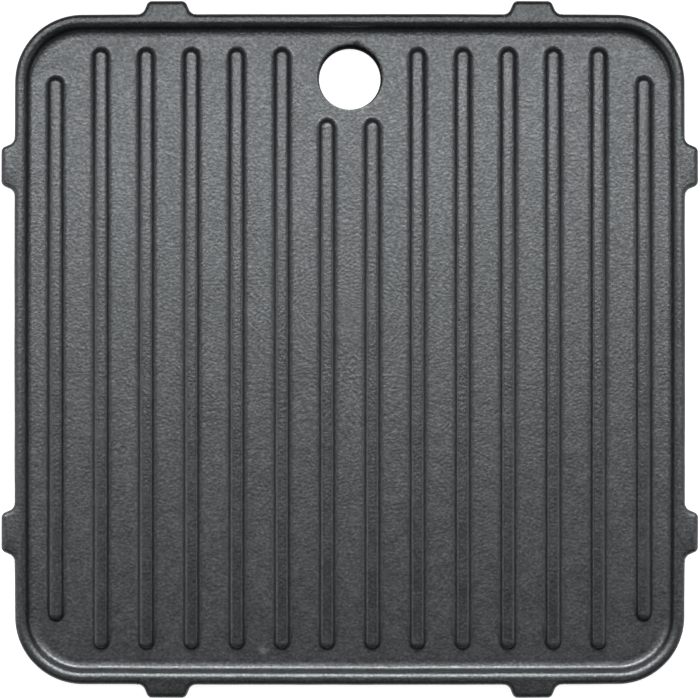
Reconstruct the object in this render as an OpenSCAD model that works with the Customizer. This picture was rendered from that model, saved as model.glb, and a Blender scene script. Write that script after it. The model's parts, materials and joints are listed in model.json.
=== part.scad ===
// Camp griddle plate: a square cast-iron plate with a raised rim, long cooking ribs,
// a lifting hole near the back edge and eight bearing lugs, two on each side.
// The origin is the middle of the flat underside. +Z points out of the ribbed face and
// +Y towards the lifting hole. Sizes are in millimetres and degrees.

/* [Plate] */
// Width across the body, lugs left out
plate_w = 305; // [260:1:400]
// Length across the body, lugs left out
plate_l = 305; // [260:1:400]
// Outer corner radius of the body
corner_r = 31; // [26:1:45]
// Thickness of the floor
floor_t = 5.5; // [4.5:0.1:10]
// Rounding of the edge round the underside
heel_r = 1.5; // [0.5:0.1:3]
// Inward taper of the outer wall below the lugs
skirt_taper = 9; // [2:0.5:20]

/* [Rim] */
// Height of the rim above the floor
rim_h = 5; // [4.5:0.1:12]
// Width of the rim's crest between the lines of its two walls
rim_crest_w = 5; // [4.5:0.1:9]
// Slope of the rim's inner wall from upright
rim_draft = 26; // [5:1:40]
// Rounding between the crest and the inner wall
rim_shoulder_r = 2.9; // [0.5:0.1:4]
// Cove at the foot of the inner wall
rim_cove_r = 3; // [0.5:0.1:5]
// Rounding of the outer upper edge, which runs on round the lugs
edge_r = 2.3; // [0.5:0.1:2.5]
// Slope at which the floor meets the rim's cove
dish_slope = 15; // [4:1:20]
// Radius of the gentle dish between that slope and the flat floor
dish_r = 10.5; // [5:0.5:40]

/* [Ribs] */
// Number of ribs
rib_count = 14; // [4:1:16]
// Height of the ribs above the floor
rib_h = 3.4; // [2:0.1:6]
// Width of a rib's crest between the lines of its two flanks
rib_crest_w = 5.2; // [3.5:0.1:9]
// Fall of a rib's crest from its crown towards each flank
rib_fall = 8; // [2:0.5:12]
// Radius of the crown along the middle of a rib's crest
rib_crown_r = 7.5; // [2:0.5:15]
// Slope of a rib's flanks from upright
rib_draft = 20; // [5:1:30]
// Rounding of a rib's upper edges
rib_crest_r = 1.6; // [0.3:0.1:2.5]
// Fillet between a rib and the floor
rib_foot_r = 2.8; // [0.5:0.1:4]
// Flat floor left between the outermost ribs and the rim's dish
rib_side_gap = 1.4; // [0.5:0.1:12]
// Flat floor left between the ends of the ribs and the rim's dish
rib_end_gap = 2; // [0.5:0.1:20]
// How far a rib beside a corner stops short of the curve of the rim's dish there
rib_corner_setback = 1.35; // [0:0.05:20]

/* [Lifting hole] */
// Diameter of the hole
hole_d = 28; // [12:0.5:45]
// Rounding of the hole's upper edge
hole_edge_r = 1.2; // [0.3:0.1:2]
// Rounding of the hole's lower edge
hole_heel_r = 0.8; // [0.3:0.1:2]
// Flat floor left between the hole and the rim's dish
hole_web = 3.4; // [2.2:0.1:20]
// Flat floor left between the hole and the ribs that stop below it
rib_hole_gap = 2.8; // [2.2:0.1:20]

/* [Lugs] */
// How far a lug stands out from the body
lug_reach = 6; // [4:0.1:12]
// Width of a lug at its tip
lug_tip_w = 16.8; // [10:0.1:30]
// Flare of a lug's flanks towards its root
lug_flare = 23; // [5:1:35]
// Thickness of a lug, down from the crest of the rim
lug_t = 6; // [3.5:0.1:7]
// Fillet between a lug's flank and the body, seen from above
lug_root_r = 3.5; // [1:0.1:6]
// Rounding of a lug's outer corners, seen from above
lug_tip_r = 2.2; // [0.5:0.1:4]
// From the middle of a lug to the end of its side of the body
lug_inset = 69.4; // [55:0.1:100]

/* [Hidden] */
iron = [0.36, 0.37, 0.375];
side_names = ["right", "back", "left", "front"];
arc_steps = 8;
lug_steps = 5;
crown_steps = 3;
$fn = 96;

// Flat left between two roundings, and beside a seam between two solids
land = 0.3;
// How far a cutting shape runs past the face that it opens
past = 1;

plate_h = floor_t + rim_h;

// Length that a rounding of radius r takes from each line, where the lines turn by a degrees
function tangent(r, a) = r * tan(a / 2);

// Share of their set size that two roundings may have on a wall of a given length
function wall_share(length, first, second) = min(1, (length - land) / (first + second));

// Rim: roundings limited by the inner wall, then the lines that they round
shoulder_turn = 90 - rim_draft;
cove_turn = shoulder_turn - dish_slope;
dish_t = tangent(dish_r, dish_slope);
dish_run_max = tangent(rim_cove_r, cove_turn) + dish_t + land;
rim_wall = (rim_h - dish_run_max * sin(dish_slope)) / cos(rim_draft);
rim_fit = wall_share(
    rim_wall,
    tangent(rim_shoulder_r, shoulder_turn),
    tangent(rim_cove_r, cove_turn)
);
shoulder_r = rim_shoulder_r * rim_fit;
cove_r = rim_cove_r * rim_fit;
dish_run = tangent(cove_r, cove_turn) + dish_t + land;
cove_z = floor_t + dish_run * sin(dish_slope);
cove_in = rim_crest_w + (plate_h - cove_z) * tan(rim_draft);
dish_in = cove_in + dish_run * cos(dish_slope);
// From the outer wall to the upright seam between rim and floor
rim_foot = dish_in + dish_t + land;
lip_z = plate_h - lug_t;
skirt_in = lip_z * tan(skirt_taper);

// Ribs: roundings limited by the flank and the crest, then the places of the ribs
rib_edge_turn = 90 - rib_draft - rib_fall;
rib_fit = wall_share(
    (rib_h - rib_crest_w / 2 * tan(rib_fall)) / cos(rib_draft),
    tangent(rib_crest_r, rib_edge_turn),
    tangent(rib_foot_r, 90 - rib_draft)
);
rib_edge_t = tangent(rib_crest_r * rib_fit, rib_edge_turn);
rib_crown_max = (rib_crest_w / 2 - rib_edge_t * cos(rib_fall) - land / 2) / sin(rib_fall);
crown_r = min(rib_crown_r, rib_crown_max);
rib_peak = rib_h + crown_r * (1 / cos(rib_fall) - 1);
rib_edge_z = rib_peak - rib_crest_w / 2 * tan(rib_fall);
rib_foot_half = rib_crest_w / 2 + rib_edge_z * tan(rib_draft);
rib_toe = rib_foot_half + tangent(rib_foot_r * rib_fit, 90 - rib_draft);
rib_span = plate_w - 2 * (rim_foot + rib_side_gap + rib_toe);
rib_pitch = rib_span / (rib_count - 1);
rib_end = plate_l / 2 - rim_foot - rib_end_gap;

hole_r = hole_d / 2;
hole_y = plate_l / 2 - rim_foot - hole_web - hole_r;

// Lugs: the root arc's centre is the same for the outline and every outline inside it
lug_tip_round = max(lug_tip_r, edge_r + land / 2);
lug_root_half = lug_tip_w / 2 + lug_reach * tan(lug_flare);
lug_half = lug_root_half + tangent(lug_root_r, 90 - lug_flare);
// Notch in the rim's crest that takes the root of a lug
lug_depth = edge_r + land;
lug_key_z = plate_h - edge_r - land;

function rib_name(i) = str("rib_", i);
function lug_name(side, k) = str(side_names[side], "_lug_", k);

function unit(v) = v / norm(v);
function turned(v, a) = [v.x * cos(a) - v.y * sin(a), v.x * sin(a) + v.y * cos(a)];
function flipped(points) = [for (i = [len(points) - 1:-1:0]) [-points[i].x, points[i].y]];

// Points of the arc of radius r that rounds the corner at b between a and c
function corner_arc(a, b, c, r, steps = arc_steps) =
    let (
        u = unit(a - b),
        v = unit(c - b),
        half = acos(u * v) / 2,
        centre = b + unit(u + v) * r / sin(half),
        first = b + u * r / tan(half) - centre,
        last = b + v * r / tan(half) - centre,
        sweep = sign(cross(first, last)) * (180 - 2 * half)
    )
    [for (i = [0:steps]) centre + turned(first, sweep * i / steps)];

// Closed outline through corners given as [x, y, rounding]
function rounded(corners) =
    let (n = len(corners), at = [for (c = corners) [c.x, c.y]])
    [
        for (i = [0:n - 1])
            each corners[i].z > 0
                ? corner_arc(at[(i + n - 1) % n], at[i], at[(i + 1) % n], corners[i].z)
                : [at[i]]
    ];

// Half the body's size across a side, and along it
function across(side) = (side % 2 == 0 ? plate_w : plate_l) / 2;
function along(side) = (side % 2 == 0 ? plate_l : plate_w) / 2;

// Sweeps a section round the body. In the section, x is 0 at the outer wall and falls inwards.
module round_the_plate() {
    for (side = [0:3])
        rotate(90 * side) {
            translate([across(side), 0, 0])
                rotate([90, 0, 0])
                    linear_extrude(2 * (along(side) - corner_r), center = true)
                        children();
            translate([across(side) - corner_r, along(side) - corner_r, 0])
                rotate_extrude(angle = 90)
                    translate([corner_r, 0])
                        children();
        }
}

// Puts its children at one lug's place, with x along the side and y outwards from the wall
module at_lug(side, k) {
    offset_along = (k == 1 ? -1 : 1) * (along(side) - lug_inset);
    rotate(90 * side)
        translate([across(side), offset_along, 0])
            rotate(-90)
                children();
}

module griddle_floor() {
    color(iron)
        difference() {
            union() {
                translate([0, 0, floor_t / 2])
                    cube([plate_w - 2 * corner_r, plate_l - 2 * corner_r, floor_t], center = true);
                round_the_plate()
                    translate([-corner_r, 0])
                        square([corner_r - rim_foot, floor_t]);
            }
            translate([0, hole_y, 0])
                hole_cutter();
        }
}

// Plain bore with a rounded edge at each face of the floor
module hole_cutter() {
    low = [hole_r, 0];
    high = [hole_r, floor_t];
    away = [hole_d, 0];
    rotate_extrude()
        polygon(concat(
            [[0, -past], [hole_r + hole_heel_r, -past]],
            corner_arc(low + away, low, high, hole_heel_r),
            corner_arc(low, high, high + away, hole_edge_r),
            [[hole_r + hole_edge_r, floor_t + past], [0, floor_t + past]]
        ));
}

module rim() {
    color(iron)
        difference() {
            round_the_plate()
                polygon(rounded([
                    [-rim_foot, 0, 0],
                    [-skirt_in, 0, heel_r],
                    [0, lip_z, 0],
                    [0, plate_h, edge_r],
                    [-rim_crest_w, plate_h, shoulder_r],
                    [-cove_in, cove_z, cove_r],
                    [-dish_in, floor_t, dish_r],
                    [-rim_foot, floor_t, 0]
                ]));
            for (side = [0:3], k = [1:2])
                at_lug(side, k)
                    translate([-lug_half, -lug_depth, lug_key_z])
                        cube([2 * lug_half, lug_depth + past, plate_h - lug_key_z + past]);
        }
}

// Half of a rib's section from its toe to the middle of its crown
function rib_half() =
    let (foot = [rib_foot_half, 0], edge = [rib_crest_w / 2, rib_edge_z])
    concat(
        corner_arc([plate_w, 0], foot, edge, rib_foot_r * rib_fit),
        corner_arc(foot, edge, [0, rib_peak], rib_crest_r * rib_fit),
        [
            for (i = [crown_steps:-1:0])
                let (a = rib_fall * i / crown_steps)
                [crown_r * sin(a), rib_h - crown_r * (1 - cos(a))]
        ]
    );

function rib_x(i) = -rib_span / 2 + (i - 1) * rib_pitch;
function meets_hole(i) = abs(rib_x(i)) < hole_r + rib_hole_gap + rib_toe;

// Farthest that a rib reaches along the plate, which the curve of a corner shortens beside it
function rib_reach(x) =
    let (
        into_corner = abs(x) - plate_w / 2 + corner_r,
        bend = corner_r - rim_foot - rib_side_gap - rib_toe,
        up_the_bend = sqrt(max(0, bend * bend - into_corner * into_corner)),
        corner_end = plate_l / 2 - corner_r + up_the_bend + rib_toe - rib_corner_setback
    )
    into_corner > 0 ? min(rib_end, corner_end) : rib_end;

function rib_front(i) = -rib_reach(rib_x(i));
function rib_back(i) = meets_hole(i) ? hole_y - hole_r - rib_hole_gap : rib_reach(rib_x(i));

module rib(i) {
    half_section = concat([[0, 0]], rib_half());
    first = rib_front(i) + rib_toe;
    last = rib_back(i) - rib_toe;
    color(iron)
        translate([rib_x(i), 0, floor_t]) {
            translate([0, last, 0])
                rotate([90, 0, 0])
                    linear_extrude(last - first)
                        polygon(concat(rib_half(), flipped(rib_half())));
            translate([0, last, 0])
                rotate_extrude(angle = 180)
                    polygon(half_section);
            translate([0, first, 0])
                rotate(180)
                    rotate_extrude(angle = 180)
                        polygon(half_section);
        }
}

// Left half of a lug's outline, drawn in by a distance all round, from its root to its tip
function lug_side(inset) =
    let (
        lean = inset / cos(lug_flare) - inset * tan(lug_flare),
        root = [lean - lug_root_half, -inset],
        tip = [lean - lug_tip_w / 2, lug_reach - inset]
    )
    concat(
        corner_arc([-plate_w, -inset], root, tip, lug_root_r + inset, lug_steps),
        corner_arc(root, tip, [0, lug_reach - inset], lug_tip_round - inset, lug_steps)
    );

// Upper part of a lug, whose root lies in the notch in the rim and whose edge is rounded as the rim's is
module lug_crown() {
    rounding = [
        for (i = [0:arc_steps])
            let (a = 90 * i / arc_steps)
            [edge_r * (1 - cos(a)), plate_h - edge_r * (1 - sin(a))]
    ];
    levels = concat([[0, lug_key_z]], rounding);
    halves = [for (level = levels) concat([[-lug_half, -lug_depth]], lug_side(level[0]))];
    n = 2 * len(halves[0]);
    top = len(levels) - 1;
    points = [
        for (i = [0:top], p = concat(halves[i], flipped(halves[i])))
            [p.x, p.y, levels[i][1]]
    ];
    walls = [
        for (i = [0:top - 1], j = [0:n - 1])
            [i * n + j, i * n + (j + 1) % n, (i + 1) * n + (j + 1) % n, (i + 1) * n + j]
    ];
    caps = [
        for (i = [0, top], j = [0:n / 2 - 2])
            let (quad = [j, j + 1, n - 2 - j, n - 1 - j])
            [for (q = i == top ? [0, 1, 2, 3] : [3, 2, 1, 0]) i * n + quad[q]]
    ];
    polyhedron(points, concat(walls, caps));
}

module lug(side, k) {
    color(iron)
        at_lug(side, k) {
            translate([0, 0, lip_z])
                linear_extrude(lug_key_z - lip_z)
                    polygon(concat(lug_side(0), flipped(lug_side(0))));
            lug_crown();
        }
}

griddle_floor();
rim();
for (i = [1:rib_count])
    rib(i);
for (side = [0:3], k = [1:2])
    lug(side, k);
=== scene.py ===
"""Looks of a cast-iron camp griddle plate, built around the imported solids.

The plate is one casting. Each of its features, the floor, the rim, the ribs and the lugs, is a piece of its
own that stands for the solid of the same name. All are of one iron, with three skins: one on the floor, one
on the rim and its lugs, and one with rubbed crests on the ribs.
"""

import json
import logging
import math
from dataclasses import dataclass, replace
from enum import Enum
from functools import cached_property
from typing import Any, Iterable, Union

import bmesh
import bpy
from bmesh.types import BMEdge, BMesh, BMVert
from bpy.types import ID, Material, NodeSocket, NodeTree, Object
from mathutils import Matrix, Vector, noise

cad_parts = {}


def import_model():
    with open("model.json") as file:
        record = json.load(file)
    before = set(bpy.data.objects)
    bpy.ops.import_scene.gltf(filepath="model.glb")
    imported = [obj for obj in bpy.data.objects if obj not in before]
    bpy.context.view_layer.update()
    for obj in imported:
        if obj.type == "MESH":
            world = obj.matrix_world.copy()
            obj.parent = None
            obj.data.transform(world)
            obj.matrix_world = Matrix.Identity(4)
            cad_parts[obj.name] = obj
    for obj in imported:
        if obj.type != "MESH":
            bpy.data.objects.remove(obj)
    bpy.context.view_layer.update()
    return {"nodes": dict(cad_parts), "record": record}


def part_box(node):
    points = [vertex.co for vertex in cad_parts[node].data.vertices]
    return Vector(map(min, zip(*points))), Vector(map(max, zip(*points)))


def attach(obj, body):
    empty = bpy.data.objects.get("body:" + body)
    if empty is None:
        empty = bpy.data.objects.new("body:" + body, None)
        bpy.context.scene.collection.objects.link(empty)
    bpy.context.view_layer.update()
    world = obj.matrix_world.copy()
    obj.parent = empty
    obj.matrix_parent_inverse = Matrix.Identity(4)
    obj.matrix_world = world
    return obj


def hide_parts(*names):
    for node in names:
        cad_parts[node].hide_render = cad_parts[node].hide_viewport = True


log = logging.getLogger("griddle_plate")

MM = 0.001
BODY = "root"
# Distance at which two points are one
WELD = 0.001 * MM
# Edges that turn by less than this are shaded smooth
SMOOTH_BELOW = math.radians(40)
# Numbers that the ribs' points carry: how far the crest is rubbed, and how much painted light (a paler
# flank) a flank gets
RUB = "rub"
PAINTED_FLANK_LIGHT = "painted_flank_light"
BLACK = (0.0, 0.0, 0.0)
WHITE = (1.0, 1.0, 1.0)

Band = tuple[float, float]
Colour = tuple[float, float, float]
# Points of a line, each with the radius of its rounding
Corners = list[tuple[Vector, float]]


def smooth_step(low: float, high: float, value: float) -> float:
    """Go from 0 at low to 1 at high, level at both ends.

    Args:
        low: Value at which the way starts. It may be the greater one.
        high: Value at which the way ends.
        value: Value to place between them.

    Returns:
        A share from 0 to 1.
    """
    share = min(1.0, max(0.0, (value - low) / (high - low)))
    return share * share * (3 - 2 * share)


def band_above(base: float, low: float, high: float) -> Band:
    """A range of heights, given from a base."""
    return base + low, base + high


class Field:
    """A shader socket that Python arithmetic acts on."""

    def __init__(self, graph: "Graph", socket: NodeSocket | None) -> None:
        """Wrap one output socket of a graph."""
        self.graph = graph
        self.socket = socket

    def _math(self, operation: str, first: "Operand", second: "Operand") -> "Field":
        """Add one Math node.

        Args:
            operation: The node's operation.
            first: Left operand.
            second: Right operand.

        Returns:
            The node's result.
        """
        return self.graph.add("ShaderNodeMath", {"operation": operation}, {0: first, 1: second})

    def __add__(self, other: "Operand") -> "Field":
        """Sum of this field and another operand."""
        return self._math("ADD", self, other)

    def __radd__(self, other: "Operand") -> "Field":
        """Sum of a number and this field."""
        return self._math("ADD", other, self)

    def __sub__(self, other: "Operand") -> "Field":
        """This field less another operand."""
        return self._math("SUBTRACT", self, other)

    def __rsub__(self, other: "Operand") -> "Field":
        """A number less this field."""
        return self._math("SUBTRACT", other, self)

    def __mul__(self, other: "Operand") -> "Field":
        """Product of this field and another operand."""
        return self._math("MULTIPLY", self, other)

    def __rmul__(self, other: "Operand") -> "Field":
        """Product of a number and this field."""
        return self._math("MULTIPLY", other, self)


Operand = Union[Field, float, Colour]


class Graph:
    """A node tree that is written as expressions."""

    # Numbers of the Mix node's colour sockets, whose names its other types share
    MIX_FIRST, MIX_SECOND, MIX_RESULT = 6, 7, 2

    def __init__(self, tree: NodeTree) -> None:
        """Start with an empty tree."""
        self.tree = tree
        tree.nodes.clear()

    def add(
        self,
        kind: str,
        settings: dict[str, Any] | None = None,
        inputs: dict[str | int, Operand] | None = None,
        output: str | int = 0,
    ) -> Field:
        """Add one node, with its settings first and then its sockets.

        Args:
            kind: The node's type.
            settings: The node's own properties.
            inputs: Values or links of the input sockets, by name or number.
            output: Name or number of the output that is wanted.

        Returns:
            That output, or an empty field for a node that has none.
        """
        node = self.tree.nodes.new(kind)
        for name, value in (settings or {}).items():
            setattr(node, name, value)
        for key, value in (inputs or {}).items():
            if isinstance(value, Field):
                self.tree.links.new(value.socket, node.inputs[key])
            elif isinstance(value, tuple) and node.inputs[key].type == "RGBA":
                node.inputs[key].default_value = (*value, 1.0)
            else:
                node.inputs[key].default_value = value
        return Field(self, node.outputs[output] if len(node.outputs) else None)

    @cached_property
    def place(self) -> Field:
        """Object coordinates, in metres."""
        return self.add("ShaderNodeTexCoord", output="Object")

    def axis(self, name: str) -> Field:
        """One of the object coordinates, X, Y or Z."""
        return self.add("ShaderNodeSeparateXYZ", None, {"Vector": self.place}, name)

    def noise(self, length: float, detail: float = 2.0, share: float = 0.5) -> Field:
        """Soft noise with lumps of a given size.

        Args:
            length: Size of the lumps, in metres.
            detail: How many finer layers are added.
            share: Strength of each finer layer beside the one before.

        Returns:
            Values about 0.5.
        """
        inputs = {"Vector": self.place, "Scale": 1 / length, "Detail": detail, "Roughness": share}
        return self.add("ShaderNodeTexNoise", {"noise_dimensions": "3D"}, inputs)

    def rise(self, value: Field, low: float, high: float) -> Field:
        """Rise from 0 at low to 1 at high, level at both ends.

        Args:
            value: Field to read.
            low: Value at which the rise starts.
            high: Value at which the rise ends.

        Returns:
            A share from 0 to 1.
        """
        inputs = {"Value": value, "From Min": low, "From Max": high}
        return self.add("ShaderNodeMapRange", {"interpolation_type": "SMOOTHSTEP"}, inputs)

    def mix(self, share: Operand, first: Operand, second: Operand) -> Field:
        """Mix two colours.

        Args:
            share: Share of the second colour.
            first: First colour.
            second: Second colour.

        Returns:
            The mixed colour.
        """
        inputs = {"Factor": share, self.MIX_FIRST: first, self.MIX_SECOND: second}
        return self.add("ShaderNodeMix", {"data_type": "RGBA"}, inputs, self.MIX_RESULT)

    def vector(self, operation: str, *operands: Operand, output: str = "Vector") -> Field:
        """Add one Vector Math node.

        Args:
            operation: The node's operation.
            operands: The node's operands.
            output: Name of the output that is wanted.

        Returns:
            That output.
        """
        return self.add("ShaderNodeVectorMath", {"operation": operation}, dict(enumerate(operands)), output)

    def carried(self, name: str) -> Field:
        """A number that the piece's own points carry."""
        return self.add("ShaderNodeAttribute", {"attribute_name": name}, output="Fac")

    def ray(self, kind: str) -> Field:
        """1 on rays of one kind, such as Camera, and 0 on the others."""
        return self.add("ShaderNodeLightPath", output=f"Is {kind} Ray")


@dataclass(frozen=True)
class Stain:
    """A ragged round patch of another colour on the skin, seen from above.

    Its outline strays from the radius by up to half of ragged, in lumps of the given size, and fades out
    over fade to either side. The roughness is added to the skin's.
    """

    middle: Vector
    radius: float
    ragged: float
    lump: float
    fade: float
    colour: Colour
    roughness: float
    strength: float = 1.0
    torn_share: float = 0.6

    def mask(self, graph: Graph) -> Field:
        """Share of the stain over the surface.

        Args:
            graph: Node tree of the material.

        Returns:
            The stain's strength inside its ragged outline, 0 outside.
        """
        level = graph.vector("MULTIPLY", graph.place, (1.0, 1.0, 0.0))
        offset = graph.vector("SUBTRACT", level, tuple(self.middle))
        distance = graph.vector("LENGTH", offset, output="Value")
        torn = self.ragged * (graph.noise(self.lump, share=self.torn_share) - 0.5)
        outside = graph.rise(distance + torn, self.radius - self.fade, self.radius + self.fade)
        return self.strength * (1 - outside)


# Pale rub mark near the front edge, across the seam of the floor and the rim
SCUFF = Stain(
    middle=Vector((-39.2 * MM, -137.0 * MM, 0.0)),
    radius=1.7 * MM,
    ragged=5.5 * MM,
    lump=1.7 * MM,
    fade=1.2 * MM,
    colour=(0.24, 0.25, 0.25),
    roughness=0.1,
    strength=0.8,
)


@dataclass(frozen=True)
class GrimeAndPaintedLight:
    """A tint over a range of heights: a thin film of grime on the rim, and painted light on the rib flanks.

    It comes in and goes out over bands of height, and front is a band along the plate over which it dies
    out towards the back. The layer names a number on the piece's points that weighs it.
    """

    colour: Colour
    strength: float
    comes_in: Band
    goes_out: Band | None = None
    front: Band | None = None
    layer: str | None = None

    def mask(self, graph: Graph) -> Field:
        """Share of the tint over the surface.

        Args:
            graph: Node tree of the material.

        Returns:
            The film's strength in its range of heights, 0 outside.
        """
        height = graph.axis("Z")
        share = self.strength * graph.rise(height, *self.comes_in)
        if self.goes_out:
            share = share * (1 - graph.rise(height, *self.goes_out))
        if self.front:
            share = share * (1 - graph.rise(graph.axis("Y"), *self.front))
        if self.layer:
            share = share * graph.carried(self.layer)
        return share


@dataclass(frozen=True)
class CastIron:
    """Dark seasoned iron with the stippled skin of a sand casting, which is calmer towards the front.

    The skin's heights, stipple, peel and swell, are in millimetres. Speckle, mottle and pale_share make up
    the share of the pale colour. A crest is the band of heights over which a rubbed piece comes to be worn.
    """

    name: str
    crest: Band | None = None
    pale: Colour = (0.210, 0.222, 0.227)
    dark: Colour = (0.071, 0.0745, 0.077)
    pale_share: float = 0.035
    speckle: float = 1.3
    speckle_size: float = 1.25 * MM
    mottle: float = 0.25
    mottle_size: float = 24 * MM
    roughness: float = 0.42
    roughness_swing: float = 0.05
    patch_size: float = 7 * MM
    patch_band: Band = (0.35, 0.7)
    stipple: float = 0.125
    stipple_size: float = 1.3 * MM
    peel: float = 0.033
    peel_size: float = 3.6 * MM
    swell: float = 0.03
    swell_size: float = 20 * MM
    worn_roughness: float = 0.07
    worn_stipple: float = 0.1
    front_relief: float = 0.68
    back_relief: float = 1.1
    relief_band: Band = (-140 * MM, 10 * MM)
    grime_and_painted_light: GrimeAndPaintedLight | None = None
    stains: tuple[Stain, ...] = ()

    def material(self) -> Material:
        """Make the material.

        Returns:
            A material whose patterns lie on object coordinates.
        """
        made = bpy.data.materials.new(self.name)
        made.use_nodes = True
        graph = Graph(made.node_tree)
        worn = self._worn(graph)
        colour = self._colour(graph)
        roughness = self._roughness(graph, worn)
        for stain in self.stains:
            stained = stain.mask(graph)
            colour = graph.mix(stained, colour, stain.colour)
            roughness = roughness + stain.roughness * stained
        bump = self._bump(graph, worn)
        inputs = {"Base Color": colour, "Metallic": 1.0, "Roughness": roughness, "Normal": bump}
        shader = graph.add("ShaderNodeBsdfPrincipled", None, inputs)
        graph.add("ShaderNodeOutputMaterial", None, {"Surface": shader})
        return made

    def _worn(self, graph: Graph) -> Operand:
        """Share of wear over the surface.

        Args:
            graph: Node tree of the material.

        Returns:
            0 where the skin is as cast, up to 1 on a rubbed crest.
        """
        if self.crest is None:
            return 0.0
        return graph.rise(graph.axis("Z"), *self.crest) * graph.carried(RUB)

    def _colour(self, graph: Graph) -> Field:
        """Colour of the skin with its tinted band of heights, grime on the rim and painted light on the
        ribs, before the stains.

        Args:
            graph: Node tree of the material.

        Returns:
            A speckled and mottled grey.
        """
        speckle = graph.noise(self.speckle_size, detail=1.0)
        mottle = graph.noise(self.mottle_size, detail=3.0, share=0.6)
        share = self.speckle * speckle * speckle + self.mottle * mottle + self.pale_share
        colour = graph.mix(share, self.dark, self.pale)
        # Grime on the rim; on the ribs, painted light that makes the flanks paler
        if self.grime_and_painted_light:
            colour = graph.mix(self.grime_and_painted_light.mask(graph), colour, self.grime_and_painted_light.colour)
        return colour

    def _roughness(self, graph: Graph, worn: Operand) -> Field:
        """Roughness of the skin, before the stains.

        Args:
            graph: Node tree of the material.
            worn: Share of wear.

        Returns:
            A roughness that swings from patch to patch and is lower where the skin is worn.
        """
        patches = graph.rise(graph.noise(self.patch_size), *self.patch_band)
        return self.roughness + self.roughness_swing * (patches - 0.5) - self.worn_roughness * worn

    def _bump(self, graph: Graph, worn: Operand) -> Field:
        """Relief of the skin.

        Args:
            graph: Node tree of the material.
            worn: Share of wear.

        Returns:
            The bumped normal.
        """
        stipple = self.stipple * graph.noise(self.stipple_size, detail=1.0)
        peel = self.peel * graph.noise(self.peel_size, detail=1.0)
        swell = self.swell * graph.noise(self.swell_size)
        back = graph.rise(graph.axis("Y"), *self.relief_band)
        relief = self.front_relief + (self.back_relief - self.front_relief) * back
        height = (stipple + peel) * relief * (1 - self.worn_stipple * worn) + swell
        return graph.add("ShaderNodeBump", None, {"Strength": 1.0, "Distance": MM, "Height": height})


@dataclass(frozen=True)
class Plate:
    """Sizes of the whole plate that its features share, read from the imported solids."""

    half_w: float
    half_l: float
    height: float
    floor_t: float
    floor_half_w: float
    floor_half_l: float
    corner_r: float = 31 * MM

    @classmethod
    def from_frame(cls) -> "Plate":
        """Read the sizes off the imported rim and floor.

        Returns:
            The plate's sizes.
        """
        _, rim_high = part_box("rim")
        _, floor_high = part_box("griddle_floor")
        return cls(
            half_w=rim_high.x,
            half_l=rim_high.y,
            height=rim_high.z,
            floor_t=floor_high.z,
            floor_half_w=floor_high.x,
            floor_half_l=floor_high.y,
        )

    @property
    def rim_w(self) -> float:
        """Width of the rim, from the outer wall to its seam with the floor."""
        return self.half_w - self.floor_half_w

    @property
    def floor_corner_r(self) -> float:
        """Corner radius of the floor, on the same centre as the body's corner."""
        return self.corner_r - self.rim_w

    def outward(self, point: Vector) -> tuple[Vector, float]:
        """Place a point beside the floor's outline.

        Args:
            point: A point of the plate.

        Returns:
            The level direction away from the floor, and how far outside the floor's outline the point lies.
        """
        straight_w = self.floor_half_w - self.floor_corner_r
        straight_l = self.floor_half_l - self.floor_corner_r
        over = Vector((max(0.0, abs(point.x) - straight_w), max(0.0, abs(point.y) - straight_l), 0.0))
        way = Vector((math.copysign(over.x, point.x), math.copysign(over.y, point.y), 0.0))
        return way.normalized(), over.length - self.floor_corner_r


class MouldLayer(Enum):
    """Patterns of the mould's unevenness, by number, none of which repeats another."""

    RIM_WALL = 0
    RIM_TOP = 1
    RIB_WALL = 2
    RIB_TOP = 3


@dataclass(frozen=True)
class MouldUnevenness:
    """Slow unevenness that a sand mould leaves, always inwards, so that no piece grows."""

    depth: float = 0.16 * MM
    length: float = 14 * MM
    layer_gap: float = 10.0

    def dip(self, point: Vector, layer: MouldLayer) -> float:
        """Depth of the unevenness at a point.

        Args:
            point: A point of the plate.
            layer: Pattern to read.

        Returns:
            A depth from 0 to the full depth.
        """
        at = point / self.length + Vector((0.0, 0.0, self.layer_gap * layer.value))
        return self.depth * 0.5 * (1 - noise.noise(at))

    def drop(self, point: Vector, layer: MouldLayer) -> float:
        """Depth of the unevenness at a point, the same at every height."""
        return self.dip(Vector((point.x, point.y, 0.0)), layer)


class Section:
    """A line of edges in a bmesh, with corners that are rounded by their own radius."""

    def __init__(self, bm: BMesh, corners: Corners, closed: bool) -> None:
        """Draw the line.

        Args:
            bm: Mesh to draw in, which holds nothing else yet.
            corners: Points of the line, each with its rounding.
            closed: Whether the last point joins the first.
        """
        self.bm = bm
        points = [bm.verts.new(point) for point, _ in corners]
        pairs = list(zip(points, points[1:]))
        if closed:
            pairs.append((points[-1], points[0]))
        for pair in pairs:
            bm.edges.new(pair)
        for point, (_, radius) in zip(points, corners):
            if radius > 0:
                self._round(point, radius)

    def _round(self, point: BMVert, radius: float, arc: float = math.radians(6)) -> None:
        """Round one corner.

        Args:
            point: Corner between two edges.
            radius: Radius of the rounding.
            arc: Greatest turn from one edge of the rounding to the next.
        """
        ways = [(edge.other_vert(point).co - point.co).normalized() for edge in point.link_edges]
        turn = math.pi - ways[0].angle(ways[1])
        bmesh.ops.bevel(
            self.bm,
            geom=[point],
            offset=radius * math.tan(turn / 2),
            offset_type="OFFSET",
            segments=max(2, math.ceil(turn / arc)),
            profile=0.5,
            affect="VERTICES",
            material=-1,
            clamp_overlap=False,
        )


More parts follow.
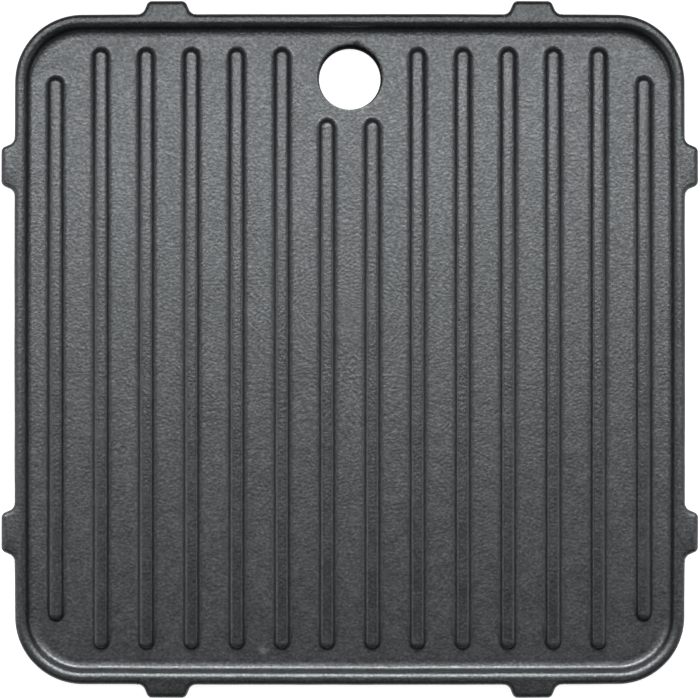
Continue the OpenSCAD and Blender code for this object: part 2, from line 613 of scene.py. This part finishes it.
class Sweep:
    """Carries a section along straight runs and round bends, and leaves a skin behind it."""

    def __init__(self, bm: BMesh) -> None:
        """Start from everything that the mesh holds."""
        self.bm = bm
        self.front: list[Any] = bm.verts[:] + bm.edges[:]

    def run(self, way: Vector) -> None:
        """Carry the section straight on, in one step whose rails are marked as seams.

        Args:
            way: The whole run.
        """
        before = set(self.bm.edges)
        self._spin(Vector(), 0.0, 1, way)
        for rail in set(self.bm.edges) - before - set(self.front):
            rail.seam = True

    def bend(self, centre: Vector, angle: float, count: int) -> None:
        """Carry the section round an upright axis.

        Args:
            centre: A point on the axis.
            angle: Angle of the bend, counterclockwise.
            count: Number of steps.
        """
        self._spin(centre, angle, count, Vector())

    def _spin(self, centre: Vector, angle: float, count: int, step: Vector) -> None:
        """Run the spin operator on the front of the sweep.

        Args:
            centre: A point on the upright axis.
            angle: Angle of the whole turn.
            count: Number of steps.
            step: Way that each step goes besides its turn.
        """
        made = bmesh.ops.spin(
            self.bm,
            geom=self.front,
            cent=centre,
            axis=(0, 0, 1),
            dvec=step,
            angle=angle,
            steps=count,
            use_merge=False,
            use_duplicate=False,
        )
        self.front = made["geom_last"]

    def close(self, step: float) -> None:
        """Weld the end of the sweep to its start, cut up the straight runs and turn the skin outwards.

        Args:
            step: Greatest distance from one ring to the next on a straight run.
        """
        bmesh.ops.remove_doubles(self.bm, verts=self.bm.verts[:], dist=WELD)
        while rails := [edge for edge in self.bm.edges if edge.seam and edge.calc_length() > step + WELD]:
            longest = max(rail.calc_length() for rail in rails)
            alike = [rail for rail in rails if rail.calc_length() > longest - WELD]
            bmesh.ops.subdivide_edges(self.bm, edges=alike, cuts=math.ceil(longest / step) - 1)
        self.clear_rails()
        bmesh.ops.recalc_face_normals(self.bm, faces=self.bm.faces[:])

    def clear_rails(self) -> None:
        """Take the marks off the rails."""
        for edge in self.bm.edges:
            edge.seam = False


def points_of(parts: Iterable[Any]) -> list[BMVert]:
    """The points among parts of a mesh."""
    return [part for part in parts if isinstance(part, BMVert)]


def edges_of(parts: Iterable[Any]) -> list[BMEdge]:
    """The edges among parts of a mesh."""
    return [part for part in parts if isinstance(part, BMEdge)]


def add_object(data: ID) -> Object:
    """Put a mesh, lamp or camera in the scene.

    Args:
        data: What the object shows.

    Returns:
        A new object of the same name.
    """
    made = bpy.data.objects.new(data.name, data)
    bpy.context.scene.collection.objects.link(made)
    return made


def add_mesh(bm: BMesh, name: str, material: Material) -> Object:
    """Put a finished bmesh in the scene.

    Args:
        bm: The mesh, which is freed.
        name: Name of the mesh and of its object.
        material: The finish.

    Returns:
        The new object.
    """
    mesh = bpy.data.meshes.new(name)
    bm.to_mesh(mesh)
    bm.free()
    mesh.materials.append(material)
    return add_object(mesh)


def make_piece(bm: BMesh, node: str, material: Material) -> Object:
    """Turn a finished bmesh into a piece that stands for a solid of the same name.

    Args:
        bm: The piece's mesh, in the plate's frame. It is freed.
        node: Name of the solid.
        material: The piece's finish.

    Returns:
        The new object.
    """
    piece = add_mesh(bm, f"{node}_cast", material)
    piece.data.shade_smooth()
    piece.data.set_sharp_from_angle(angle=SMOOTH_BELOW)
    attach(piece, BODY)
    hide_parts(node)
    log.info("%s: %d faces", piece.name, len(piece.data.polygons))
    return piece


@dataclass
class GriddleFloor:
    """Flat web of the plate, with the lifting hole near its back edge.

    The hole's upper edge is rounded over edge_depth. It opens by edge_flare there, and its middle moves by
    edge_shift. The collar is a narrow level ring round it.
    """

    plate: Plate
    hole_centre: Vector
    hole_r: float
    edge_flare: float = 1.5 * MM
    edge_shift: Vector = Vector((0.4 * MM, 1.2 * MM, 0.0))
    edge_depth: float = 1.9 * MM
    collar: float = 0.6 * MM
    heel_r: float = 0.8 * MM
    rounding_steps: int = 8
    hole_steps: int = 128
    scorch_shift: Vector = Vector((0.4 * MM, 1.15 * MM, 0.0))
    soot_shift: Vector = Vector((3.2 * MM, 14.2 * MM, 0.0))

    @classmethod
    def from_frame(cls, plate: Plate, record: dict[str, Any]) -> "GriddleFloor":
        """Read the hole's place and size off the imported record.

        Args:
            plate: Sizes of the whole plate.
            record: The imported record.

        Returns:
            The floor's sizes.
        """
        hole = next(mount for mount in record["mounts"] if mount["name"] == "lifting_hole")
        centre = Vector((hole["pos_m"][0], hole["pos_m"][1], 0.0))
        return cls(plate, centre, hole["dims"]["r_mm"] * MM)

    def skin(self) -> CastIron:
        """Finish of the floor, scorched and sooted round the hole.

        Returns:
            Iron as cast, with its stains.
        """
        scorch = Stain(
            middle=self.hole_centre + self.scorch_shift,
            radius=14.3 * MM,
            ragged=2.6 * MM,
            lump=1.8 * MM,
            fade=0.4 * MM,
            colour=(0.016, 0.016, 0.017),
            roughness=0.25,
        )
        soot = Stain(
            middle=self.hole_centre + self.soot_shift,
            radius=2.9 * MM,
            ragged=6.5 * MM,
            lump=2.4 * MM,
            fade=1.0 * MM,
            colour=(0.03, 0.03, 0.032),
            roughness=0.15,
            strength=0.75,
        )
        return CastIron("cast_iron_floor", stains=(soot, scorch, SCUFF))

    def build(self, material: Material) -> Object:
        """Model the floor.

        Args:
            material: The floor's finish.

        Returns:
            The floor's piece.
        """
        bm = bmesh.new()
        outlines = self._outline(bm), self._hole(bm)
        for outer, inner in zip(*outlines):
            bmesh.ops.triangle_fill(bm, use_beauty=True, use_dissolve=False, edges=outer + inner)
        bmesh.ops.recalc_face_normals(bm, faces=bm.faces[:])
        return make_piece(bm, "griddle_floor", material)

    def _outline(self, bm: BMesh) -> tuple[list[BMEdge], list[BMEdge]]:
        """Draw the outer wall.

        Args:
            bm: Mesh to draw in, which holds nothing else yet.

        Returns:
            The edges of the lower and of the upper outline.
        """
        half_w, half_l = self.plate.floor_half_w, self.plate.floor_half_l
        ways = ((1, -1), (1, 1), (-1, 1), (-1, -1))
        corners = [(Vector((x * half_w, y * half_l, 0)), self.plate.floor_corner_r) for x, y in ways]
        Section(bm, corners, closed=True)
        lower = bm.edges[:]
        sweep = Sweep(bm)
        sweep.run(Vector((0, 0, self.plate.floor_t)))
        sweep.clear_rails()
        return lower, edges_of(sweep.front)

    def _hole(self, bm: BMesh) -> tuple[list[BMEdge], list[BMEdge]]:
        """Draw the wall of the hole, whose upper rounding is wider towards the back right.

        Args:
            bm: Mesh to draw in.

        Returns:
            The edges of the lower and of the upper outline of the hole.
        """
        made = bmesh.ops.create_circle(bm, cap_ends=False, segments=self.hole_steps, radius=self.hole_r)
        ring = made["verts"]
        bmesh.ops.translate(bm, verts=ring, vec=self.hole_centre)
        lower = edges = list(dict.fromkeys(edge for point in ring for edge in point.link_edges))
        for step, (grow, shifted, height) in enumerate(self._hole_rings()):
            if step:
                edges, ring = self._next_ring(bm, edges)
            self._move_ring(bm, ring, self.hole_r + grow, self.edge_shift * shifted, height)
        return lower, edges

    def _hole_rings(self) -> list[tuple[float, float, float]]:
        """Rings of the hole's wall, from the underside to a collar on the upper face.

        Returns:
            How far each ring is wider than the hole, its share of the edge's shift, and its height.
        """
        top = self.plate.floor_t
        quarter = [math.pi / 2 * i / self.rounding_steps for i in range(self.rounding_steps + 1)]
        heel = [(self.heel_r * (1 - math.sin(a)), 0.0, self.heel_r * (1 - math.cos(a))) for a in quarter]
        opened = [(1 - math.cos(a), top - self.edge_depth * (1 - math.sin(a))) for a in quarter]
        brow = [(self.edge_flare * share, share, height) for share, height in opened]
        return heel + brow + [(self.edge_flare + self.collar, 1.0, top)]

    @staticmethod
    def _next_ring(bm: BMesh, edges: list[BMEdge]) -> tuple[list[BMEdge], list[BMVert]]:
        """Extrude a ring of edges.

        Args:
            bm: Mesh that holds the ring.
            edges: The ring's edges.

        Returns:
            The new ring's edges and points.
        """
        made = bmesh.ops.extrude_edge_only(bm, edges=edges)["geom"]
        points = points_of(made)
        fresh = set(points)
        return [edge for edge in edges_of(made) if set(edge.verts) <= fresh], points

    def _move_ring(
        self, bm: BMesh, ring: list[BMVert], radius: float, shift: Vector, height: float
    ) -> None:
        """Bring a ring of the hole's wall to its size and place.

        Args:
            bm: Mesh that holds the ring.
            ring: Points of the ring.
            radius: The ring's radius.
            shift: How far the ring's middle lies from the hole's axis.
            height: The ring's height.
        """
        middle = sum((point.co for point in ring), Vector()) / len(ring)
        scale = radius / (ring[0].co - middle).length
        bmesh.ops.translate(bm, verts=ring, vec=-middle)
        bmesh.ops.scale(bm, verts=ring, vec=(scale, scale, 1))
        place = self.hole_centre + shift
        bmesh.ops.translate(bm, verts=ring, vec=(place.x, place.y, height))


@dataclass
class Rim:
    """Raised border with its inner cove and the dished edge of the floor.

    Its section, and the bands of its inner wall, are measured inwards from the outer wall. The bow draws
    the border in towards the corners, and the leans shift its inner wall.
    """

    plate: Plate
    crest_w: float = 5.15 * MM
    draft: float = math.radians(20)
    shoulder_r: float = 2.9 * MM
    cove_r: float = 2.6 * MM
    edge_r: float = 2.4 * MM
    dish_slope: float = math.radians(14.5)
    dish_r: float = 9.0 * MM
    dish_run: float = 2.56 * MM
    lip_z: float = 4.5 * MM
    skirt_in: float = 0.713 * MM
    heel_r: float = 1.5 * MM
    step: float = 3 * MM
    bend_steps: int = 30
    seam_fade: float = 3 * MM
    bow: float = 0.5 * MM
    side_lean: float = 0.5 * MM
    end_lean: float = 0.25 * MM
    wall_start: Band = (1.5 * MM, 4.0 * MM)
    wall_end: float = 7.5 * MM

    def skin(self) -> CastIron:
        """Finish of the rim and its lugs, a little coarser than the floor's and grimed from the cove up.

        Returns:
            Iron as cast, with its film of grime.
        """
        rise = band_above(self.plate.floor_t, 0.3 * MM, 2.5 * MM)
        grime = GrimeAndPaintedLight(colour=BLACK, strength=0.1, comes_in=rise)
        return CastIron("cast_iron", stipple=0.14, peel=0.045, stains=(SCUFF,), grime_and_painted_light=grime)

    def build(self, material: Material, mould: MouldUnevenness) -> Object:
        """Model the rim.

        Args:
            material: The rim's finish.
            mould: Unevenness of the casting.

        Returns:
            The rim's piece.
        """
        plate = self.plate
        bm = bmesh.new()
        straight_w = plate.half_w - plate.corner_r
        straight_l = plate.half_l - plate.corner_r
        start = Vector((plate.half_w, -straight_l, 0))
        Section(bm, [(start + corner, radius) for corner, radius in self._corners()], closed=True)
        sweep = Sweep(bm)
        for x, y, run in (
            (1, 1, Vector((0, 2 * straight_l, 0))),
            (-1, 1, Vector((-2 * straight_w, 0, 0))),
            (-1, -1, Vector((0, -2 * straight_l, 0))),
            (1, -1, Vector((2 * straight_w, 0, 0))),
        ):
            sweep.run(run)
            sweep.bend(Vector((x * straight_w, y * straight_l, 0)), math.pi / 2, self.bend_steps)
        sweep.close(self.step)
        self.weather(bm.verts, mould)
        return make_piece(bm, "rim", material)

    def _corners(self) -> Corners:
        """Corners of the section, from 0 at the outer wall inwards.

        Returns:
            Each corner with its rounding.
        """
        top, floor = self.plate.height, self.plate.floor_t
        cove_z = floor + self.dish_run * math.sin(self.dish_slope)
        cove_in = self.crest_w + (top - cove_z) * math.tan(self.draft)
        dish_in = cove_in + self.dish_run * math.cos(self.dish_slope)
        corners = (
            (self.plate.rim_w, 0.0, 0.0),
            (self.skirt_in, 0.0, self.heel_r),
            (0.0, self.lip_z, 0.0),
            (0.0, top, self.edge_r),
            (self.crest_w, top, self.shoulder_r),
            (cove_in, cove_z, self.cove_r),
            (dish_in, floor, self.dish_r),
            (self.plate.rim_w, floor, 0.0),
        )
        return [(Vector((-inward, 0, z)), radius) for inward, z, radius in corners]

    def weather(self, points: Iterable[BMVert], mould: MouldUnevenness) -> None:
        """Give the rim, or a lug on it, the casting's unevenness, bow and lean.

        The unevenness and the bow die out at the seam with the floor.

        Args:
            points: Points to move.
            mould: Unevenness of the casting.
        """
        plate = self.plate
        for point in points:
            way, outside = plate.outward(point.co)
            share = smooth_step(0.0, self.seam_fade, outside) * smooth_step(0.0, self.seam_fade, point.co.z)
            corner = min(abs(point.co.x) / plate.half_w, abs(point.co.y) / plate.half_l)
            side = mould.dip(point.co, MouldLayer.RIM_WALL) + self.bow * corner ** 2
            drop = mould.drop(point.co, MouldLayer.RIM_TOP)
            lean = self._lean(point.co, way, outside)
            point.co -= share * (way * side + Vector((0, 0, drop))) - way * lean

    def _lean(self, point: Vector, way: Vector, outside: float) -> float:
        """Lean of the inner wall, outwards at the sides and inwards at the ends.

        Args:
            point: A point of the rim.
            way: Level direction away from the floor there.
            outside: How far the point lies outside the floor's outline.

        Returns:
            How far the point moves outwards.
        """
        inward = self.plate.rim_w - outside
        wall = smooth_step(*self.wall_start, inward) * smooth_step(self.plate.rim_w, self.wall_end, inward)
        rise = (point.z - self.plate.floor_t) / (self.plate.height - self.plate.floor_t)
        return wall * (self.side_lean * way.x ** 2 - self.end_lean * rise * way.y ** 2)


@dataclass
class Rib:
    """One cooking rib, drawn as half its section and swept round its outline.

    The crest falls off to both sides, the toe is half the rib's width on the floor, and the root reaches
    into the floor. Outward is the rib's place across the floor, from -1 at its left edge to 1 at its right.
    """

    node: str
    middle: float
    front: float
    back: float
    toe: float
    base: float
    height: float
    outward: float
    crest_w: float = 5.2 * MM
    fall: float = math.radians(9)
    crown_r: float = 6.0 * MM
    crown_room: float = 1.01
    draft: float = math.radians(20)
    crest_r: float = 1.75 * MM
    foot_r: float = 2.8 * MM
    root: float = 0.6 * MM
    step: float = 3 * MM
    end_steps: int = 24
    foot_fade: float = 2.0 * MM
    front_tuck: float = 0.5
    tuck_run: float = 7 * MM
    rub_start: Band = (-1.0 * MM, 4.0 * MM)

    @classmethod
    def from_frame(cls, node: str, plate: Plate) -> "Rib":
        """Read a rib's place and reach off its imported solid.

        Args:
            node: Name of the solid.
            plate: Sizes of the whole plate.

        Returns:
            The rib's sizes.
        """
        low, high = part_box(node)
        toe = (high.x - low.x) / 2
        middle = (low.x + high.x) / 2
        return cls(
            node,
            middle,
            front=low.y + toe,
            back=high.y - toe,
            toe=toe,
            base=plate.floor_t,
            height=high.z - plate.floor_t,
            outward=middle / plate.floor_half_w,
        )

    def skin(self) -> CastIron:
        """Finish of the ribs, rubbed on the crests, with painted light that makes the flanks paler, but not
        at the back.

        Returns:
            Worn iron with its painted flank light.
        """
        # Painted light: the flanks are made paler towards the front, and more so on the side facing away
        # from the middle, standing in for side light that the lamps don't give
        painted_flank_light = GrimeAndPaintedLight(
            colour=(0.5, 0.51, 0.515),
            strength=0.48,
            comes_in=band_above(self.base, 0.6 * MM, 1.9 * MM),
            goes_out=band_above(self.base, 2.5 * MM, 3.1 * MM),
            front=(20 * MM, 110 * MM),
            layer=PAINTED_FLANK_LIGHT,
        )
        crest = band_above(self.base + self.height, -0.9 * MM, -0.2 * MM)
        return CastIron("cast_iron_ribs", crest=crest, grime_and_painted_light=painted_flank_light)

    def build(self, material: Material, mould: MouldUnevenness) -> Object:
        """Model the rib.

        Args:
            material: The rib's finish.
            mould: Unevenness of the casting.

        Returns:
            The rib's piece.
        """
        bm = bmesh.new()
        start = Vector((self.middle, self.front, self.base))
        Section(bm, [(start + corner, radius) for corner, radius in self._corners()], closed=False)
        sweep = Sweep(bm)
        along = Vector((0, self.back - self.front, 0))
        sweep.run(along)
        sweep.bend(start + along, math.pi, self.end_steps)
        sweep.run(-along)
        sweep.bend(start, math.pi, self.end_steps)
        sweep.close(self.step)
        self._tuck(bm, start)
        self._mark(bm)
        for point in bm.verts:
            share = smooth_step(0.0, self.foot_fade, point.co.z - self.base)
            side = mould.dip(point.co, MouldLayer.RIB_WALL) - mould.depth / 2
            drop = mould.drop(point.co, MouldLayer.RIB_TOP)
            point.co -= share * Vector((side, 0, drop))
        return make_piece(bm, self.node, material)

    def _corners(self) -> Corners:
        """Corners of half the section, from the middle of the crest down to the middle of the root.

        Returns:
            Each corner with its rounding.
        """
        half = self.crest_w / 2
        crown = self.crown_room * self.crown_r * math.tan(self.fall / 2)
        brow = self.height - (half - crown) * math.tan(self.fall)
        foot = half + brow * math.tan(self.draft)
        corners = (
            (0.0, self.height, 0.0),
            (crown, self.height, self.crown_r),
            (half, brow, self.crest_r),
            (foot, 0.0, self.foot_r),
            (self.toe, 0.0, 0.0),
            (self.toe, -self.root, 0.0),
            (0.0, -self.root, 0.0),
        )
        return [(Vector((x, 0, z)), radius) for x, z, radius in corners]

    def _tuck(self, bm: BMesh, start: Vector) -> None:
        """Draw the foot in towards the crest over the last stretch before the front tip.

        Args:
            bm: The rib's mesh.
            start: Centre of the front end.
        """
        half = self.crest_w / 2
        for point in bm.verts:
            offset = Vector((point.co.x - start.x, min(0.0, point.co.y - start.y), 0.0))
            over = max(0.0, offset.length - half)
            share = smooth_step(self.tuck_run, -half, point.co.y - start.y)
            point.co -= offset.normalized() * over * self.front_tuck * share

    def _mark(self, bm: BMesh) -> None:
        """Write on the points how far the crest is rubbed, and how much painted light their flank gets.

        The crest is rubbed all along, but not at the two ends. The flank that faces away from the middle of
        the plate gets the more painted light, so it is paler, the further out the rib lies.

        Args:
            bm: The rib's mesh.
        """
        layers = bm.verts.layers.float
        # Both layers are made before either is used, because a new one moves those that are there
        for name in (RUB, PAINTED_FLANK_LIGHT):
            layers.new(name)
        for point in bm.verts:
            inside = min(point.co.y - self.front, self.back - point.co.y)
            point[layers[RUB]] = smooth_step(*self.rub_start, inside)
            # Painted light: the flank facing away from the middle is made paler, the more so the further
            # out the rib lies
            side = max(-1.0, min(1.0, (point.co.x - self.middle) / (self.crest_w / 2)))
            point[layers[PAINTED_FLANK_LIGHT]] = (1 + side * self.outward) / 2


class Side(Enum):
    """Sides of the plate, by the quarter turns from the right one."""

    RIGHT = 0
    BACK = 1
    LEFT = 2
    FRONT = 3

    @property
    def axis(self) -> int:
        """Axis that points out of the side, 0 for x and 1 for y."""
        return self.value % 2


@dataclass
class Lug:
    """One bearing lug, whose rounded edge runs out into the rim's."""

    node: str
    side: Side
    along: float
    wall: float
    low: float
    high: float
    reach: float
    rim: Rim
    tip_w: float = 16.8 * MM
    flare: float = math.radians(23)
    root_r: float = 3.5 * MM
    tip_r: float = 2.5 * MM
    edge_steps: int = 8

    @classmethod
    def from_frame(cls, side: Side, number: int, rim: Rim) -> "Lug":
        """Read a lug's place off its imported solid.

        Args:
            side: Side of the plate.
            number: Number of the lug on its side.
            rim: The rim that carries the lug.

        Returns:
            The lug's sizes.
        """
        node = f"{side.name.lower()}_lug_{number}"
        low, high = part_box(node)
        middle = (low + high) / 2
        wall = (rim.plate.half_w, rim.plate.half_l)[side.axis]
        tip = max(abs(low[side.axis]), abs(high[side.axis]))
        return cls(
            node,
            side,
            along=middle[1 - side.axis],
            wall=wall,
            low=low.z,
            high=high.z,
            reach=tip - wall,
            rim=rim,
        )

    def build(self, material: Material, mould: MouldUnevenness) -> Object:
        """Model the lug.

        Args:
            material: The lug's finish.
            mould: Unevenness of the casting.

        Returns:
            The lug's piece.
        """
        bm = bmesh.new()
        Section(bm, self._corners(), closed=True)
        bmesh.ops.contextual_create(bm, geom=bm.edges[:])
        raised = points_of(bmesh.ops.extrude_face_region(bm, geom=bm.faces[:])["geom"])
        bmesh.ops.translate(bm, verts=raised, vec=(0, 0, self.high - self.low))
        bmesh.ops.recalc_face_normals(bm, faces=bm.faces[:])
        bmesh.ops.bevel(
            bm,
            geom=[edge for edge in bm.edges if all(self._on_brow(point.co) for point in edge.verts)],
            offset=self.rim.edge_r,
            offset_type="OFFSET",
            segments=self.edge_steps,
            profile=0.5,
            affect="EDGES",
            material=-1,
            clamp_overlap=False,
        )
        bmesh.ops.remove_doubles(bm, verts=bm.verts[:], dist=WELD)
        self._place(bm)
        bmesh.ops.recalc_face_normals(bm, faces=bm.faces[:])
        self.rim.weather(bm.verts, mould)
        return make_piece(bm, self.node, material)

    def _corners(self) -> Corners:
        """Corners of the outline seen from above, with the wall along x and y pointing out of it.

        Returns:
            Each corner with its rounding.
        """
        root_half = self.tip_w / 2 + self.reach * math.tan(self.flare)
        half = root_half + self.root_r * math.tan((math.pi / 2 - self.flare) / 2)
        left = (
            (-half, -self.rim.edge_r, 0.0),
            (-half, 0.0, 0.0),
            (-root_half, 0.0, self.root_r),
            (-self.tip_w / 2, self.reach, self.tip_r),
        )
        right = tuple((-x, y, radius) for x, y, radius in reversed(left))
        return [(Vector((x, y, self.low)), radius) for x, y, radius in left + right]

    def _on_brow(self, point: Vector) -> bool:
        """Whether a point of the sharp-edged lug is on its upper edge, outside the rim's own rounding."""
        return point.z > self.low + WELD and point.y > WELD - self.rim.edge_r

    def _place(self, bm: BMesh) -> None:
        """Turn the lug to its side of the plate and set it against the wall.

        Args:
            bm: The lug's mesh, drawn as on the back side.
        """
        turn = Matrix.Rotation(math.pi / 2 * (self.side.value - Side.BACK.value), 3, "Z")
        bmesh.ops.rotate(bm, verts=bm.verts[:], cent=(0, 0, 0), matrix=turn)
        place = turn @ Vector((0, self.wall, 0))
        place[1 - self.side.axis] = self.along
        bmesh.ops.translate(bm, verts=bm.verts[:], vec=place)


@dataclass(frozen=True)
class Softbox:
    """A rectangular lamp that is equally bright all over.

    Foot and head are the middles of two opposite edges, which run along a given way.
    """

    name: str
    foot: Vector
    head: Vector
    along: Vector
    width: float
    radiance: float

    def build(self) -> None:
        """Hang the lamp with its face towards the plate."""
        up = self.head - self.foot
        data = bpy.data.lights.new(self.name, "AREA")
        data.shape = "RECTANGLE"
        data.size, data.size_y = self.width, up.length
        data.energy = self.radiance * math.pi * data.size * data.size_y
        middle = (self.foot + self.head) / 2
        back = self.along.cross(up).normalized()
        if back.dot(middle) < 0:
            back = -back
        axes = Matrix((up.cross(back).normalized(), up.normalized(), back)).transposed()
        lamp = add_object(data)
        lamp.rotation_euler = axes.to_euler()
        lamp.location = middle

    def mirrored(self, name: str, radiance: float) -> "Softbox":
        """A lamp of the same size on the other side of the plate, with its own name and radiance."""
        across = Vector((-1, 1, 1))
        return replace(self, name=name, foot=self.foot * across, head=self.head * across, radiance=radiance)


BACK_SOFTBOX = Softbox(
    "back_softbox",
    foot=Vector((-0.02, 0.2466, 0.2357)),
    head=Vector((-0.02, 0.4167, 0.7878)),
    along=Vector((1, 0, 0)),
    width=0.788,
    radiance=8.25,
)
TOP_PANEL = Softbox(
    "top_panel",
    foot=Vector((-0.02, 0.17, 1.65)),
    head=Vector((-0.02, 0.545, 1.65)),
    along=Vector((1, 0, 0)),
    width=1.75,
    radiance=2.55,
)
LEFT_CARD = Softbox(
    "left_card",
    foot=Vector((-0.325, -0.034, 0.0)),
    head=Vector((-0.325, -0.034, 0.4185)),
    along=Vector((0, 1, 0)),
    width=0.353,
    radiance=0.50,
)
RIGHT_CARD = LEFT_CARD.mirrored("right_card", radiance=0.42)


@dataclass
class Studio:
    """White floor, a low softbox behind the plate, a panel above, two side cards and an overhead camera."""

    crest: float
    camera_rise: float = 1.0
    camera_shift: Vector = Vector((0.12 * MM, 0.18 * MM, 0.0))
    field_w: float = 317.34 * MM
    sensor_w: float = 36.0
    floor_half: float = 12.0
    floor_drop: float = 0.2 * MM
    floor_white: Colour = (0.65, 0.65, 0.65)
    floor_glow: float = 0.9
    mirrored_glow: float = 0.25
    world_light: float = 0.075
    lamps: tuple[Softbox, ...] = (BACK_SOFTBOX, TOP_PANEL, LEFT_CARD, RIGHT_CARD)

    def build(self) -> None:
        """Set up the camera, the lamps, the world and the floor."""
        self._camera()
        for lamp in self.lamps:
            lamp.build()
        self._world()
        self._floor()

    def _camera(self) -> None:
        """Hang the camera over the middle of the plate."""
        data = bpy.data.cameras.new("overhead_camera")
        data.sensor_width = self.sensor_w
        data.lens = self.sensor_w * self.camera_rise / self.field_w
        camera = add_object(data)
        camera.location = self.camera_shift + Vector((0, 0, self.crest + self.camera_rise))
        bpy.context.scene.camera = camera

    def _world(self) -> None:
        """Fill with weak light from all round, which is white to the camera."""
        world = bpy.data.worlds.new("studio_world")
        world.use_nodes = True
        bpy.context.scene.world = world
        graph = Graph(world.node_tree)
        strength = self.world_light + (1 - self.world_light) * graph.ray("Camera")
        light = graph.add("ShaderNodeBackground", None, {"Color": WHITE, "Strength": strength})
        graph.add("ShaderNodeOutputWorld", None, {"Surface": light})

    def _floor(self) -> None:
        """Lay the white floor, which keeps the plate's shadow."""
        bm = bmesh.new()
        bmesh.ops.create_grid(bm, x_segments=1, y_segments=1, size=self.floor_half)
        bmesh.ops.translate(bm, verts=bm.verts[:], vec=(0, 0, -self.floor_drop))
        floor = add_mesh(bm, "studio_floor", self._floor_material())

    def _floor_material(self) -> Material:
        """Make the floor's white.

        Returns:
            A matt white that glows to the camera and, more weakly, in reflections, and is clear from below.
        """
        made = bpy.data.materials.new("studio_white")
        made.use_nodes = True
        graph = Graph(made.node_tree)
        matt = graph.add("ShaderNodeBsdfDiffuse", None, {"Color": self.floor_white})
        glow = graph.add("ShaderNodeEmission", None, {"Color": WHITE, "Strength": self.floor_glow})
        lit = graph.add("ShaderNodeAddShader", None, {0: matt, 1: glow})
        seen = graph.ray("Camera") + self.mirrored_glow * graph.ray("Glossy") + graph.ray("Transmission")
        shown = graph.add("ShaderNodeMixShader", None, {0: seen, 1: matt, 2: lit})
        clear = graph.add("ShaderNodeBsdfTransparent")
        below = graph.add("ShaderNodeNewGeometry", output="Backfacing")
        one_sided = graph.add("ShaderNodeMixShader", None, {0: below, 1: shown, 2: clear})
        graph.add("ShaderNodeOutputMaterial", None, {"Surface": one_sided})
        return made


def main() -> None:
    """Build the plate's pieces and the studio."""
    logging.basicConfig(level=logging.INFO, format="%(name)s: %(message)s")
    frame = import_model()
    bpy.context.scene.view_settings.view_transform = "Standard"

    plate = Plate.from_frame()
    mould = MouldUnevenness()
    floor = GriddleFloor.from_frame(plate, frame["record"])
    rim = Rim(plate)
    rib_count = sum(name.startswith("rib_") for name in frame["nodes"])
    ribs = [Rib.from_frame(f"rib_{i + 1}", plate) for i in range(rib_count)]
    lugs = [Lug.from_frame(side, number, rim) for side in Side for number in (1, 2)]
    rim_skin = rim.skin().material()
    rib_skin = ribs[0].skin().material()

    floor.build(floor.skin().material())
    rim.build(rim_skin, mould)
    for rib in ribs:
        rib.build(rib_skin, mould)
    for lug in lugs:
        lug.build(rim_skin, mould)

    Studio(plate.height).build()


if __name__ == "__main__":
    main()
